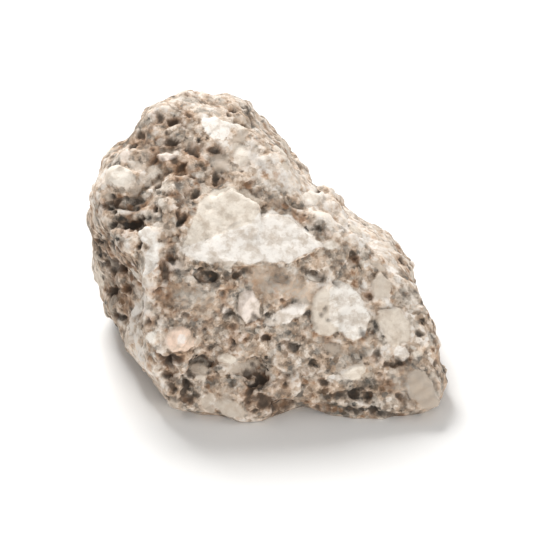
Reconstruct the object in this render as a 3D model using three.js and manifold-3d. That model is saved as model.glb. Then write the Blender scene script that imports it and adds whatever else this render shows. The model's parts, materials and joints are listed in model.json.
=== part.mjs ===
// A rough, pale grey volcanic stone with white crystals and dark pits, lying on its flat broken base.
// Millimetres, +Z up. +X is to the right and -Y towards someone looking at the stone's front. The
// origin is on the base, under the middle of the stone.
import * as THREE from 'three';
import { ConvexGeometry } from 'three/addons/geometries/ConvexGeometry.js';
import { ImprovedNoise } from 'three/addons/math/ImprovedNoise.js';
import { mergeVertices } from 'three/addons/utils/BufferGeometryUtils.js';
import Module from 'manifold-3d';

// Driving dimensions
const WIDTH = 35.5;
const DEPTH = 28;
const HEIGHT = 24.5;
const HEART_HEIGHT = 11.5; // the stone is laid out round this point above the base
const FRONT_EDGE = 13; // from under the heart to the foot of the front
const SIGHT_RISE = 35; // degrees above level of the line of sight that the outline is given for

// Surface
const SKIN_STEPS = 13; // each edge of a 20-sided solid is split into this many and one more
const EDGE_SHARPNESS = 16; // higher makes crisper edges between the broken faces
const STONE_COLOUR = 0xb6aa9d;
const CHIPS = [
  { size: 9, height: 1.3, tilt: 0.17 },
  { size: 4.2, height: 0.8, tilt: 0.24 },
];
const CHIP_LEDGE = 0.22; // width of the step between two chips, in chip sizes
const BUMPS = [
  { size: 2.6, height: 0.4 },
  { size: 1.1, height: 0.3 },
];
const BASE_WEAR = { height: 2.4, inset: 1.5 }; // the foot curves in under the stone

// The broken faces that give the stone its form. Heading is in degrees from +X, anticlockwise from
// above, rise is in degrees above level, and reach is how far the face lies from the heart.
const BROKEN_FACES = [
  { heading: -90, rise: 20, reach: 8.4 }, // front
  { heading: -90, rise: 58, reach: 7.3 }, // front of the dome
  { heading: -55, rise: 42, reach: 8.8 }, // right part of the front
  { heading: 228, rise: 12, reach: 13.7 }, // left part of the front
  { heading: 19, rise: 47, reach: 8.4 }, // long slope down to the right
  { heading: 100, rise: 76, reach: 13.6 }, // top
  { heading: 201, rise: -10, reach: 14.2 }, // left, undercut
  { heading: 165, rise: 30, reach: 15 }, // upper left
  { heading: 15, rise: 12, reach: 14 }, // right end
  { heading: 52, rise: 24, reach: 12.6 }, // back right
  { heading: 92, rise: 2, reach: 13.6 }, // back
  { heading: 138, rise: 12, reach: 15 }, // back left
  { heading: 205, rise: -52, reach: 14.4 }, // under the left
  { heading: 80, rise: -46, reach: 15 }, // under the back
  { heading: 0, rise: -90, reach: 12.3 }, // underside
];

// The outline seen along the line of sight, as points across from the heart and up from the foot
// of the front.
const OUTLINE = [
  [-12.7, 31.6],
  [-9, 33.4],
  [-5.3, 33.2],
  [-2.8, 32.4],
  [-0.5, 30.1],
  [1.7, 28.1],
  [3.1, 26],
  [4.4, 24],
  [7.9, 21.7],
  [11.4, 19.5],
  [12.9, 17.6],
  [15.2, 13.5],
  [17, 7.5],
  [17.7, 3],
  [17, 0.4],
  [12, -0.5],
  [5, 0],
  [-2, -0.8],
  [-5.5, 0.1],
  [-10, 1.8],
  [-13, 7.2],
  [-15.5, 11],
  [-17, 15.5],
  [-17.7, 21],
  [-15.5, 25.6],
  [-13.2, 30],
];

// Lumps stand out of the broken faces, and hollows lie in them. A negative height is a hollow.
const LUMPS = [
  { at: [-14.5, 2.5, 17], radius: 4.2, height: 1.8 }, // knob on the left shoulder
  { at: [15.5, -11, 2], radius: 3.6, height: 1.6 }, // toe at the right end
  { at: [-8, -3, 18.5], radius: 6, height: 1 }, // dome
  { at: [-14, -5, 9], radius: 4.6, height: -1.3 }, // hollow in the left side
  { at: [10, -11, 4], radius: 4, height: -0.9 }, // hollow beside the toe
  { at: [-1, -9, 14], radius: 5, height: -0.8 }, // hollow under the ledge
  { at: [-1, -4, 17], radius: 6.5, height: -0.9 }, // seat of the ledge
  { at: [-3, 13, 14], radius: 5, height: 1.2 },
  { at: [8, 12, 7], radius: 5, height: -1.4 },
  { at: [-11, 12, 7], radius: 4, height: -1.2 },
  { at: [-2.3, -12.2, 1.2], radius: 3.4, height: 2 }, // foot of the front
  { at: [3.2, -11.6, 0.6], radius: 3.6, height: -2.4 }, // notch beside it
];

// Worn ridges run from one point to another, and the roughness beside them is worn down too.
const RIDGES = [
  { from: [-10.4, -5.5, 17.5], to: [-11.2, -8.2, 14], width: 1.9, height: 0.7 }, // left rim
  { from: [-11.2, -8.2, 14], to: [-11.4, -10.8, 7], width: 1.7, height: 0.6 },
  { from: [-3.4, 6, 24], to: [5.6, -2.6, 17.5], width: 2.2, height: 0.5 }, // edge of the long slope
  { from: [5.6, -2.6, 17.5], to: [12.4, -5.6, 13.5], width: 2.2, height: 0.6 },
  { from: [12.4, -5.6, 13.5], to: [17, -10.4, 5], width: 2, height: 0.5 },
];
const RIDGE_WEAR = { reach: 2, share: 0.75 }; // reach in ridge widths, share of the roughness worn off

// The pale crystals of the front, as points across and up like the outline's. Width and length are
// in the face they grow from, turn is anticlockwise in degrees and proud is how far they stand out.
const FRONT_CRYSTALS = [
  { at: [-8.3, 8.6], width: 2.6, length: 2.6, turn: 20, proud: 0.41 },
  { at: [-1.6, 11.5], width: 2.2, length: 3.4, turn: 5, proud: 0.37 },
  { at: [1.9, 10.8], width: 1.6, length: 3.6, turn: -65, proud: 0.34 },
  { at: [6.8, 11], width: 4.2, length: 5.6, turn: 30, proud: 0.31 },
  { at: [11, 13.3], width: 2, length: 2.8, turn: -20, proud: 0.31 },
  { at: [12, 9.2], width: 3, length: 3.6, turn: 15, proud: 0.31 },
  { at: [-4.3, 28.4], width: 2.2, length: 3.2, turn: 40, proud: 0.34 },
  { at: [-9.8, 26.2], width: 0.9, length: 1.8, turn: -75, proud: 0.24 },
  { at: [-13.8, 24.4], width: 2.6, length: 3.2, turn: 70, proud: 0.41 },
  { at: [-11.4, 18.2], width: 2.6, length: 3.4, turn: 10, proud: 0.41 },
  { at: [-11.5, 14], width: 1.6, length: 4.2, turn: -5, proud: 0.34 },
  { at: [-1, 2.6], width: 1.8, length: 3, turn: 80, proud: 0.27 },
  { at: [15.6, 4.6], width: 2.4, length: 3.2, turn: 15, proud: 0.27 },
  { at: [1, 26.6], width: 1.6, length: 3.6, turn: 42, proud: 0.27 },
  { at: [8.5, 19.2], width: 1.5, length: 3.2, turn: 52, proud: 0.24 },
  { at: [4.6, 22.4], width: 1.4, length: 2.8, turn: 48, proud: 0.24 },
  { at: [8.4, 5.2], width: 1.8, length: 2.4, turn: -30, proud: 0.27 },
  { at: [-5, 20.6], width: 1.4, length: 2, turn: 30, proud: 0.24 },
];

// The big white crystal of the front is a ledge of two flat facets that meet in a crease.
const LEDGE_FACETS = [
  {
    corners: [[-8.2, 17.5], [-6.3, 22.2], [-3.6, 23.7], [-0.6, 22], [-1, 19.4], [-4.6, 17.6]],
    lift: 0.55,
    lean: [-0.16, 0, 0.04],
  },
  {
    corners: [[-8.2, 17.3], [0.4, 21.3], [2.2, 20.7], [5.5, 17.6], [2.2, 16.1], [-1.1, 15.7], [-6.6, 16.1]],
    lift: 0.8,
    lean: [0.05, 0, 0.16],
  },
];
const LEDGE_THICKNESS = 2.4;
const LEDGE_TAPER = 0.25; // the ledge's root is narrower than its top by this share
const LEDGE_PATCH = 3; // size of the patch of skin that each corner takes its direction from

// The dark pits and crevices of the front, in the same measures. A pit without a length is round.
const FRONT_PITS = [
  { at: [-10.4, 30.2], width: 1.3 },
  { at: [-7.6, 30.3], width: 1.2 },
  { at: [-12.6, 28], width: 1.3 },
  { at: [-9.5, 27.8], width: 1.1 },
  { at: [-6.8, 27.4], width: 1.1 },
  { at: [-4.9, 26.6], width: 1.3 },
  { at: [-8.6, 25.4], width: 1.8 },
  { at: [-4.9, 24.4], width: 1.4 },
  { at: [-10.6, 23.4], width: 1.4 },
  { at: [-7.6, 22.8], width: 1.2, length: 2, turn: 20 },
  { at: [-8.4, 20.6], width: 1.6 },
  { at: [-11, 21.4], width: 1.2 },
  { at: [-13.8, 21.9], width: 1.2, length: 3.2, turn: 80 },
  { at: [-13.4, 20.1], width: 1.4, length: 4, turn: 84 },
  { at: [-16.4, 18.4], width: 1.4, length: 2, turn: 40 },
  { at: [-14.4, 15.6], width: 1.7 },
  { at: [-15.2, 13.2], width: 1.6 },
  { at: [-14.2, 10.4], width: 1.5 },
  { at: [-9.3, 16.6], width: 1.3, length: 2.2, turn: 35 },
  { at: [-6.1, 14.9], width: 1.4, length: 3, turn: 85 },
  { at: [-2.9, 14.7], width: 1.4 },
  { at: [1.2, 14.6], width: 1.2, length: 2.2, turn: 80 },
  { at: [4.6, 14.8], width: 1.1, length: 2, turn: 70 },
  { at: [-10.3, 12.9], width: 1.1, length: 1.8, turn: 70 },
  { at: [-4.1, 10], width: 1.2 },
  { at: [0, 8.5], width: 1.3 },
  { at: [-6.6, 6.1], width: 1.5, length: 3.2, turn: 75 },
  { at: [-9.8, 5.2], width: 1.4 },
  { at: [-7.6, 3.2], width: 1.4 },
  { at: [-1.4, 5.2], width: 2.8, length: 3.6, turn: 10 },
  { at: [1.6, 1.9], width: 1.2, length: 2.6, turn: 80 },
  { at: [4.4, 5.9], width: 1.3 },
  { at: [8.1, 16.8], width: 1.3 },
  { at: [9.7, 12.9], width: 1, length: 1.8, turn: 60 },
  { at: [6, 7.6], width: 1, length: 2.6, turn: 70 },
  { at: [12.4, 6.4], width: 1.4 },
  { at: [9.2, 2.7], width: 1.4, length: 3.2, turn: 78 },
  { at: [13.2, 2.6], width: 1.2, length: 2, turn: 20 },
  { at: [2.7, 22.1], width: 0.8, length: 3, turn: 52 },
  { at: [4.9, 19.4], width: 1 },
];

// A crystal's corners lie this far out, in widths and lengths, and its root is wider than its top.
const CRYSTAL_CORNERS = { spread: [0.48, 0.62], jumble: 0.22 };
const CRYSTAL_ROOT = { flare: 1.2, depth: 0.3 };
const CRYSTAL_LEAN = 0.14;

// A pit is part of a bubble of this radius and height, in widths, whose middle is just under the skin.
const PIT_BUBBLE = { radius: 0.56, height: 0.38, sunk: 0.06 };

// The sides, back and top out of sight carry more of both, strewn by chance.
const STREWN_CRYSTALS = { count: 16, width: [1.6, 3.4], longer: [1.1, 1.7], proud: [0.2, 0.36] };
const STREWN_PITS = { count: 30, width: [1.1, 2.2], longer: [1, 1.7] };
const STREWN_GAP = 2.8;
const STREWN_LOWEST = 1.6;
const STREWN_LOWEST_SINE = -0.6; // of the slope down from the heart
const STREWN_FACING = 0.15; // skin that faces the line of sight more than this is left free
const STREWN_TRIES = 4000;

const OUTSIDE = 60; // from here a ray towards the stone starts well clear of it
const WELD = 1e-4; // points closer than this are one

const noise = new ImprovedNoise();

// The same seed always gives the same row of numbers from 0 to 1.
function makeDice(seed) {
  let state = seed;
  return (low = 0, high = 1) => {
    state = (state * 16807) % 2147483647;
    return low + ((high - low) * state) / 2147483647;
  };
}

function unitVector(headingDegrees, riseDegrees) {
  const heading = THREE.MathUtils.degToRad(headingDegrees);
  const rise = THREE.MathUtils.degToRad(riseDegrees);
  return new THREE.Vector3(
    Math.cos(heading) * Math.cos(rise),
    Math.sin(heading) * Math.cos(rise),
    Math.sin(rise),
  );
}

const heart = new THREE.Vector3(0, 0, HEART_HEIGHT);
const foot = new THREE.Vector3(0, -FRONT_EDGE, 0);
const sightAcross = new THREE.Vector3(1, 0, 0);
const sightUp = unitVector(90, 90 - SIGHT_RISE);
const sightNear = unitVector(-90, SIGHT_RISE);

const faces = BROKEN_FACES.map((face) => ({
  normal: unitVector(face.heading, face.rise),
  reach: face.reach,
}));

// How far the broken faces lie from the heart in one direction, with the edges between them rounded.
function reachAlong(direction) {
  let sum = 0;
  for (const face of faces) {
    const towards = direction.dot(face.normal);
    if (towards > 0) sum += (towards / face.reach) ** EDGE_SHARPNESS;
  }
  return sum ** (-1 / EDGE_SHARPNESS);
}

function sightDirection(angle, lean) {
  return new THREE.Vector3()
    .addScaledVector(sightAcross, Math.cos(angle) * Math.cos(lean))
    .addScaledVector(sightUp, Math.sin(angle) * Math.cos(lean))
    .addScaledVector(sightNear, Math.sin(lean));
}

// The outline of the broken faces alone, seen along the line of sight, at one angle round the heart.
function facesOutline(angle) {
  let widest = 0;
  for (let leanDegrees = -80; leanDegrees <= 80; leanDegrees += 4) {
    const lean = THREE.MathUtils.degToRad(leanDegrees);
    widest = Math.max(widest, reachAlong(sightDirection(angle, lean)) * Math.cos(lean));
  }
  return widest;
}

// The given outline at one angle round the heart.
const heartUp = heart.clone().sub(foot).dot(sightUp);
function givenOutline(angle) {
  const ray = new THREE.Vector2(Math.cos(angle), Math.sin(angle));
  for (let i = 0; i < OUTLINE.length; i++) {
    const start = new THREE.Vector2(...OUTLINE[i]);
    const end = new THREE.Vector2(...OUTLINE[(i + 1) % OUTLINE.length]);
    start.y -= heartUp;
    end.y -= heartUp;
    const edge = end.clone().sub(start);
    const slant = ray.cross(edge);
    const reach = start.cross(edge) / slant;
    const share = start.cross(ray) / slant;
    if (reach > 0 && share >= 0 && share < 1) return reach;
  }
  return 0;
}

// 1 at the middle of a lump and 0 at its rim.
function falloff(distance, radius) {
  const share = Math.min(distance / radius, 1);
  return (1 - share * share) ** 2;
}

function distanceToRidge(point, ridge) {
  const nearest = new THREE.Vector3();
  new THREE.Line3(ridge.from, ridge.to).closestPointToPoint(point, true, nearest);
  return point.distanceTo(nearest);
}

const lumps = LUMPS.map((lump) => ({ ...lump, at: new THREE.Vector3(...lump.at) }));
const ridges = RIDGES.map((ridge) => ({
  ...ridge,
  from: new THREE.Vector3(...ridge.from),
  to: new THREE.Vector3(...ridge.to),
}));

// A fixed random number from 0 to 1 for each cell of a grid and each purpose.
function cellNumber(x, y, z, purpose) {
  const mixed = Math.sin(x * 127.1 + y * 311.7 + z * 74.7 + purpose * 191.3) * 43758.5453;
  return mixed - Math.floor(mixed);
}

// Broken rock comes off in chips: each cell of a jumbled grid has its own height and tilt, so small
// flat facets meet at low ledges.
function chipHeight(point, { size, height, tilt }) {
  const cell = point.clone().divideScalar(size);
  const near = [];
  for (let i = -1; i <= 1; i++) {
    for (let j = -1; j <= 1; j++) {
      for (let k = -1; k <= 1; k++) {
        const x = Math.floor(cell.x) + i;
        const y = Math.floor(cell.y) + j;
        const z = Math.floor(cell.z) + k;
        const seed = new THREE.Vector3(
          x + cellNumber(x, y, z, 1),
          y + cellNumber(x, y, z, 2),
          z + cellNumber(x, y, z, 3),
        );
        near.push({ x, y, z, seed, distance: seed.distanceTo(cell) });
      }
    }
  }
  near.sort((a, b) => a.distance - b.distance);
  const [first, second] = near.slice(0, 2).map(({ x, y, z, seed }) => {
    const lean = unitVector(360 * cellNumber(x, y, z, 4), 180 * cellNumber(x, y, z, 5) - 90);
    const offset = cell.clone().sub(seed).dot(lean) * size;
    return height * (cellNumber(x, y, z, 6) - 0.5) + tilt * offset;
  });
  const ledge = THREE.MathUtils.smoothstep(near[1].distance - near[0].distance, 0, CHIP_LEDGE);
  return THREE.MathUtils.lerp((first + second) / 2, first, ledge);
}

// The skin in one direction from the heart: the broken faces, stretched in the plane of sight to the
// given outline, and then roughened.
function skinPoint(direction) {
  const offset = direction.clone().multiplyScalar(reachAlong(direction));
  const angle = Math.atan2(offset.dot(sightUp), offset.dot(sightAcross));
  const stretch = givenOutline(angle) / facesOutline(angle);
  const point = heart
    .clone()
    .addScaledVector(sightAcross, stretch * offset.dot(sightAcross))
    .addScaledVector(sightUp, stretch * offset.dot(sightUp))
    .addScaledVector(sightNear, offset.dot(sightNear));
  let outward = 0;
  for (const lump of lumps) {
    outward += lump.height * falloff(point.distanceTo(lump.at), lump.radius);
  }
  let kept = 1;
  for (const ridge of ridges) {
    const away = distanceToRidge(point, ridge);
    outward += ridge.height * falloff(away, ridge.width);
    kept = Math.min(kept, 1 - RIDGE_WEAR.share * falloff(away, RIDGE_WEAR.reach * ridge.width));
  }
  let roughness = 0;
  for (const chip of CHIPS) roughness += chipHeight(point, chip);
  for (const bump of BUMPS) {
    const place = point.clone().divideScalar(bump.size);
    roughness += bump.height * noise.noise(place.x, place.y, place.z);
  }
  point.addScaledVector(direction, outward + kept * roughness);

  const wear = THREE.MathUtils.clamp(1 - point.z / BASE_WEAR.height, 0, 1);
  const inward = new THREE.Vector3(-point.x, -point.y, 0).setLength(BASE_WEAR.inset * wear * wear);
  return point.add(inward);
}

function makeSkin() {
  const ball = new THREE.IcosahedronGeometry(1, SKIN_STEPS);
  ball.deleteAttribute('normal');
  ball.deleteAttribute('uv');
  const skin = mergeVertices(ball, WELD);
  const places = skin.getAttribute('position');
  for (let i = 0; i < places.count; i++) {
    const direction = new THREE.Vector3().fromBufferAttribute(places, i).normalize();
    places.setXYZ(i, ...skinPoint(direction).toArray());
  }
  return skin;
}

const skin = makeSkin();
const skinMesh = new THREE.Mesh(skin);
const caster = new THREE.Raycaster();

// Where a ray first meets the skin, with the outward direction there.
function meetSkin(origin, direction) {
  caster.set(origin, direction);
  const [hit] = caster.intersectObject(skinMesh);
  return hit && { point: hit.point, normal: hit.face.normal.clone() };
}

function sightPoint([across, up], near = 0) {
  return foot
    .clone()
    .addScaledVector(sightAcross, across)
    .addScaledVector(sightUp, up)
    .addScaledVector(sightNear, near);
}

function meetFront(at) {
  return meetSkin(sightPoint(at, OUTSIDE), sightNear.clone().negate());
}

// The outward direction of the skin about a point, taken over a patch of the given size.
function broadNormal(hit, size) {
  const sum = hit.normal.clone();
  for (let i = 0; i < 6; i++) {
    const round = (i * Math.PI) / 3;
    const side = new THREE.Vector3(Math.cos(round), Math.sin(round), 0);
    side.applyQuaternion(turnTo(hit.normal, 0));
    const start = hit.point.clone().addScaledVector(side, size / 2);
    start.addScaledVector(hit.normal, OUTSIDE);
    const beside = meetSkin(start, hit.normal.clone().negate());
    if (beside && beside.point.distanceTo(hit.point) < size) sum.add(beside.normal);
  }
  return sum.normalize();
}

// The turn that lays +Z along an outward direction, with +Y as nearly upward as it can be.
function turnTo(outward, turnDegrees) {
  const across = new THREE.Vector3(0, 0, 1).cross(outward);
  if (across.length() < 0.05) across.set(1, 0, 0);
  across.normalize();
  const along = outward.clone().cross(across).normalize();
  const basis = new THREE.Matrix4().makeBasis(across, along, outward);
  const turn = new THREE.Quaternion().setFromRotationMatrix(basis);
  const spin = new THREE.Quaternion().setFromAxisAngle(
    new THREE.Vector3(0, 0, 1),
    THREE.MathUtils.degToRad(turnDegrees),
  );
  return turn.multiply(spin);
}

const wasm = await Module();
wasm.setup();

function solidFrom(geometry) {
  const bare = geometry.clone();
  bare.deleteAttribute('normal');
  bare.deleteAttribute('uv');
  const merged = mergeVertices(bare, WELD);
  return new wasm.Manifold(
    new wasm.Mesh({
      numProp: 3,
      vertProperties: new Float32Array(merged.getAttribute('position').array),
      triVerts: new Uint32Array(merged.index.array),
    }),
  );
}

function geometryFrom(solid) {
  const mesh = solid.getMesh();
  const geometry = new THREE.BufferGeometry();
  geometry.setAttribute('position', new THREE.BufferAttribute(mesh.vertProperties, 3));
  geometry.setIndex(new THREE.BufferAttribute(mesh.triVerts, 1));
  return geometry;
}

const dice = makeDice(4127);

// A blunt crystal with a flat top of four or five corners, sunk into the skin with its own lean.
function makeCrystal(hit, { width, length, turn, proud }) {
  const corners = [];
  const sides = dice() < 0.5 ? 4 : 5;
  const first = dice(0, 2 * Math.PI);
  for (let i = 0; i < sides; i++) {
    const jumble = dice(-CRYSTAL_CORNERS.jumble, CRYSTAL_CORNERS.jumble);
    const round = first + ((i + jumble) * 2 * Math.PI) / sides;
    const spread = dice(...CRYSTAL_CORNERS.spread);
    const x = Math.cos(round) * width * spread;
    const y = Math.sin(round) * length * spread;
    corners.push(new THREE.Vector3(x, y, 0));
    const root = -proud - width * CRYSTAL_ROOT.depth;
    corners.push(new THREE.Vector3(x * CRYSTAL_ROOT.flare, y * CRYSTAL_ROOT.flare, root));
  }
  const crystal = new ConvexGeometry(corners);
  const outward = broadNormal(hit, Math.max(width, length));
  const lean = [0, 1, 2].map(() => dice(-CRYSTAL_LEAN, CRYSTAL_LEAN));
  outward.add(new THREE.Vector3(...lean));
  crystal.applyQuaternion(turnTo(outward.normalize(), turn));
  const top = hit.point.clone().addScaledVector(outward, proud);
  crystal.translate(...top.toArray());
  return solidFrom(crystal);
}

// A pit is the lower half of a burst bubble, with a few flat sides.
function makePit(hit, { width, length = width, turn = 0 }) {
  const bubble = new THREE.IcosahedronGeometry(PIT_BUBBLE.radius, 0);
  bubble.rotateX(dice(0, 2 * Math.PI));
  bubble.rotateZ(dice(0, 2 * Math.PI));
  bubble.scale(width, length, (width + length) * PIT_BUBBLE.height);
  const outward = broadNormal(hit, width);
  bubble.applyQuaternion(turnTo(outward, turn));
  const middle = hit.point.clone().addScaledVector(outward, -PIT_BUBBLE.sunk * width);
  bubble.translate(...middle.toArray());
  return solidFrom(bubble);
}

// A flat facet of the ledge: its corners lie in one plane above the skin, and it reaches inward.
function makeFacet({ corners, lift, lean }) {
  const hits = corners.map(meetFront);
  const middle = new THREE.Vector3();
  const outward = new THREE.Vector3();
  for (const hit of hits) {
    middle.addScaledVector(hit.point, 1 / hits.length);
    outward.addScaledVector(broadNormal(hit, LEDGE_PATCH), 1 / hits.length);
  }
  outward.add(new THREE.Vector3(...lean)).normalize();
  middle.addScaledVector(outward, lift);
  const plane = new THREE.Plane().setFromNormalAndCoplanarPoint(outward, middle);
  const inward = outward.clone().multiplyScalar(-LEDGE_THICKNESS);
  const root = middle.clone().add(inward);
  const ends = [];
  for (const corner of corners) {
    const sight = new THREE.Ray(sightPoint(corner, OUTSIDE), sightNear.clone().negate());
    const top = sight.intersectPlane(plane, new THREE.Vector3());
    const under = top.clone().add(inward).lerp(root, LEDGE_TAPER);
    ends.push(top, under);
  }
  return solidFrom(new ConvexGeometry(ends));
}

// Places strewn evenly over the skin that the given front features leave free.
function strewnPlaces(count, taken) {
  const places = [];
  for (let tries = 0; places.length < count && tries < STREWN_TRIES; tries++) {
    const slope = Math.asin(dice(STREWN_LOWEST_SINE, 1));
    const direction = unitVector(dice(0, 360), THREE.MathUtils.radToDeg(slope));
    const start = heart.clone().addScaledVector(direction, OUTSIDE);
    const hit = meetSkin(start, direction.clone().negate());
    if (!hit || hit.point.z < STREWN_LOWEST) continue;
    const inSight = hit.normal.dot(sightNear) > STREWN_FACING;
    const crowded = taken.some((point) => point.distanceTo(hit.point) < STREWN_GAP);
    if (inSight || crowded) continue;
    taken.push(hit.point);
    places.push(hit);
  }
  return places;
}

// Crystals and the ledge grow out of the skin.
const taken = [];
let stone = solidFrom(skin);
for (const crystal of FRONT_CRYSTALS) {
  const hit = meetFront(crystal.at);
  taken.push(hit.point);
  stone = stone.add(makeCrystal(hit, crystal));
}
for (const facet of LEDGE_FACETS) stone = stone.add(makeFacet(facet));
for (const hit of strewnPlaces(STREWN_CRYSTALS.count, taken)) {
  const width = dice(...STREWN_CRYSTALS.width);
  const length = width * dice(...STREWN_CRYSTALS.longer);
  const turn = dice(0, 180);
  const proud = dice(...STREWN_CRYSTALS.proud);
  stone = stone.add(makeCrystal(hit, { width, length, turn, proud }));
}

// The pits cut into the skin and into the rims of the crystals.
skinMesh.geometry = geometryFrom(stone);
const pits = [];
for (const pit of FRONT_PITS) {
  const hit = meetFront(pit.at);
  taken.push(hit.point);
  pits.push(makePit(hit, pit));
}
for (const hit of strewnPlaces(STREWN_PITS.count, taken)) {
  const width = dice(...STREWN_PITS.width);
  const length = width * dice(...STREWN_PITS.longer);
  pits.push(makePit(hit, { width, length, turn: dice(0, 180) }));
}
for (const pit of pits) stone = stone.subtract(pit);

// The base is a flat break.
const ground = new THREE.BoxGeometry(3 * WIDTH, 3 * DEPTH, HEIGHT);
ground.translate(0, 0, -HEIGHT / 2);
stone = stone.subtract(solidFrom(ground));

// The whole stone is fitted to the driving dimensions and stood over the origin.
const geometry = geometryFrom(stone);
geometry.computeBoundingBox();
const size = geometry.boundingBox.getSize(new THREE.Vector3());
const middle = geometry.boundingBox.getCenter(new THREE.Vector3());
geometry.translate(-middle.x, -middle.y, 0);
geometry.scale(WIDTH / size.x, DEPTH / size.y, HEIGHT / size.z);

const material = new THREE.MeshStandardMaterial({
  color: STONE_COLOUR,
  roughness: 0.9,
  metalness: 0,
});
geometry.computeVertexNormals();
const mesh = new THREE.Mesh(geometry, material);
mesh.name = 'pumice_stone';

const part = new THREE.Group();
part.add(mesh);

export default part;
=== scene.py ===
# A rough volcanic stone on a white table. The solid gives its form; here the form is remeshed finely and
# dressed with chips, crystals, crevices, pits and grit. Shapes are worked out in millimetres.
import json
import math
import random

import bmesh
import bpy
import numpy as np
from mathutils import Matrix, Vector, noise
from mathutils.bvhtree import BVHTree
from mathutils.kdtree import KDTree

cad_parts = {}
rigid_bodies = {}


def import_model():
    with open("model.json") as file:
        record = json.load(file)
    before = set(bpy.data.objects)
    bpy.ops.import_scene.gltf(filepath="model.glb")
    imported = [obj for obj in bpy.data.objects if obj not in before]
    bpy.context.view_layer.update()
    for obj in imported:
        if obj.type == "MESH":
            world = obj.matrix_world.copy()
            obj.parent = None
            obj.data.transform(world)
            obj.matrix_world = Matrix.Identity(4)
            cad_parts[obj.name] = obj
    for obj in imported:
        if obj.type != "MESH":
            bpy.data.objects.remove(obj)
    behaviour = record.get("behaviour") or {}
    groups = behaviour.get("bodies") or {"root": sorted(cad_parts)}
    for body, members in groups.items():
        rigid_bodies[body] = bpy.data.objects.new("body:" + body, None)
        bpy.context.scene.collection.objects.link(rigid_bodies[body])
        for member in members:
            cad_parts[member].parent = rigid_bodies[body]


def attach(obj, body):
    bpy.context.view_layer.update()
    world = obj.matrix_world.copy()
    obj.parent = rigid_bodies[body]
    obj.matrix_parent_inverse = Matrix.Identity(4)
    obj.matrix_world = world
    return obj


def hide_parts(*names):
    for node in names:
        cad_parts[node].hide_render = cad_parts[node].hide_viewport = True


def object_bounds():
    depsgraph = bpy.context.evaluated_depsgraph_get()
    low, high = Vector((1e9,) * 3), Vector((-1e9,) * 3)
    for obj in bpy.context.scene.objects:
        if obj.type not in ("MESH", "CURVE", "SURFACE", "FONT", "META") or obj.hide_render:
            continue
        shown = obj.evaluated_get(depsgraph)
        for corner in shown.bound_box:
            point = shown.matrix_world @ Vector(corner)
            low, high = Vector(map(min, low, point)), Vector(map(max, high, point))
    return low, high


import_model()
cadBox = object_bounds()
mm = 0.001

# The line of sight that the front's features are placed by: across to the right and up from the foot
# of the front, square to the line of sight.
sight = {
    "rise": 35,  # degrees above level
    "foot": Vector((0, cadBox[0][1] / mm, 0)),
    "start": 60,  # mm from the stone, where each sight line starts
    "turnedAway": (-0.1, 0.2),  # cosines to the sight line between which the front's areas fade out
}
sightRise = math.radians(sight["rise"])
sightUp = Vector((0, math.sin(sightRise), math.cos(sightRise)))
sightNear = Vector((0, -math.cos(sightRise), math.sin(sightRise)))


def sightPoint(across, up, near=0.0):
    return sight["foot"] + Vector((across, 0, 0)) + up * sightUp + near * sightNear


# Arrays of one value or one vector for each vertex


def spotsOf(mesh):
    spots = np.empty(len(mesh.vertices) * 3)
    mesh.vertices.foreach_get("co", spots)
    return spots.reshape(-1, 3)


def normalsOf(mesh):
    normals = np.empty(len(mesh.vertices) * 3)
    mesh.vertex_normals.foreach_get("vector", normals)
    return normals.reshape(-1, 3)


def edgesOf(mesh):
    edges = np.empty(len(mesh.edges) * 2, dtype=np.int64)
    mesh.edges.foreach_get("vertices", edges)
    return edges.reshape(-1, 2)


def spread(values, edges, times):
    # Each vertex takes the mean of its own and its neighbours' values, again and again.
    ends = np.concatenate([edges, edges[:, ::-1]])
    count = np.bincount(ends[:, 0], minlength=len(values)) + 1.0
    for _ in range(times):
        columns = [np.bincount(ends[:, 0], column[ends[:, 1]], len(values)) for column in values.T]
        values = (values + np.array(columns).T) / count[:, None]
    return values


def smoothStep(values, low, high):
    share = np.clip((values - low) / (high - low), 0, 1)
    return share * share * (3 - 2 * share)


def unit(vectors):
    return vectors / np.linalg.norm(vectors, axis=1)[:, None]


# The stone's form: a copy of the solid, closed and remeshed

form = {
    "node": "pumice_stone",
    "grain": 0.225,  # mm, the remeshed surface's step
    "weld": 0.0005,  # mm
    "soften": 5,  # rounds of smoothing that take the sharpness off the solid's facets
    "softenBy": 0.5,
    "flatBelow": 0.35,  # mm, the base under this height is left flat
    "roughAbove": 1.4,  # mm, and above this one it is as rough as the rest
    "raised": 0.5,  # share of that roughness from which crystals and pits are set
    "sameWay": 0.2,  # cosine under which a vertex faces another way than the place beside it
    "broad": 14,  # rounds of spreading that make the broad outward direction
}


def remeshedForm():
    bm = bmesh.new()
    bm.from_mesh(bpy.data.objects[form["node"]].data)
    bmesh.ops.scale(bm, vec=(1 / mm,) * 3, verts=bm.verts)
    bmesh.ops.remove_doubles(bm, verts=bm.verts, dist=form["weld"])
    mesh = bpy.data.meshes.new("stoneForm")
    bm.to_mesh(mesh)
    bm.free()
    piece = bpy.data.objects.new("stoneForm", mesh)
    bpy.context.scene.collection.objects.link(piece)
    remesh = piece.modifiers.new("grain", "REMESH")
    remesh.mode = "VOXEL"
    remesh.voxel_size = form["grain"]
    fine = bpy.data.meshes.new_from_object(piece.evaluated_get(bpy.context.evaluated_depsgraph_get()))
    bpy.data.objects.remove(piece)
    bm = bmesh.new()
    bm.from_mesh(fine)
    everyAxis = {"use_axis_x": True, "use_axis_y": True, "use_axis_z": True}
    for _ in range(form["soften"]):
        bmesh.ops.smooth_vert(bm, verts=bm.verts, factor=form["softenBy"], **everyAxis)
    bm.to_mesh(fine)
    bm.free()
    return fine


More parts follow.
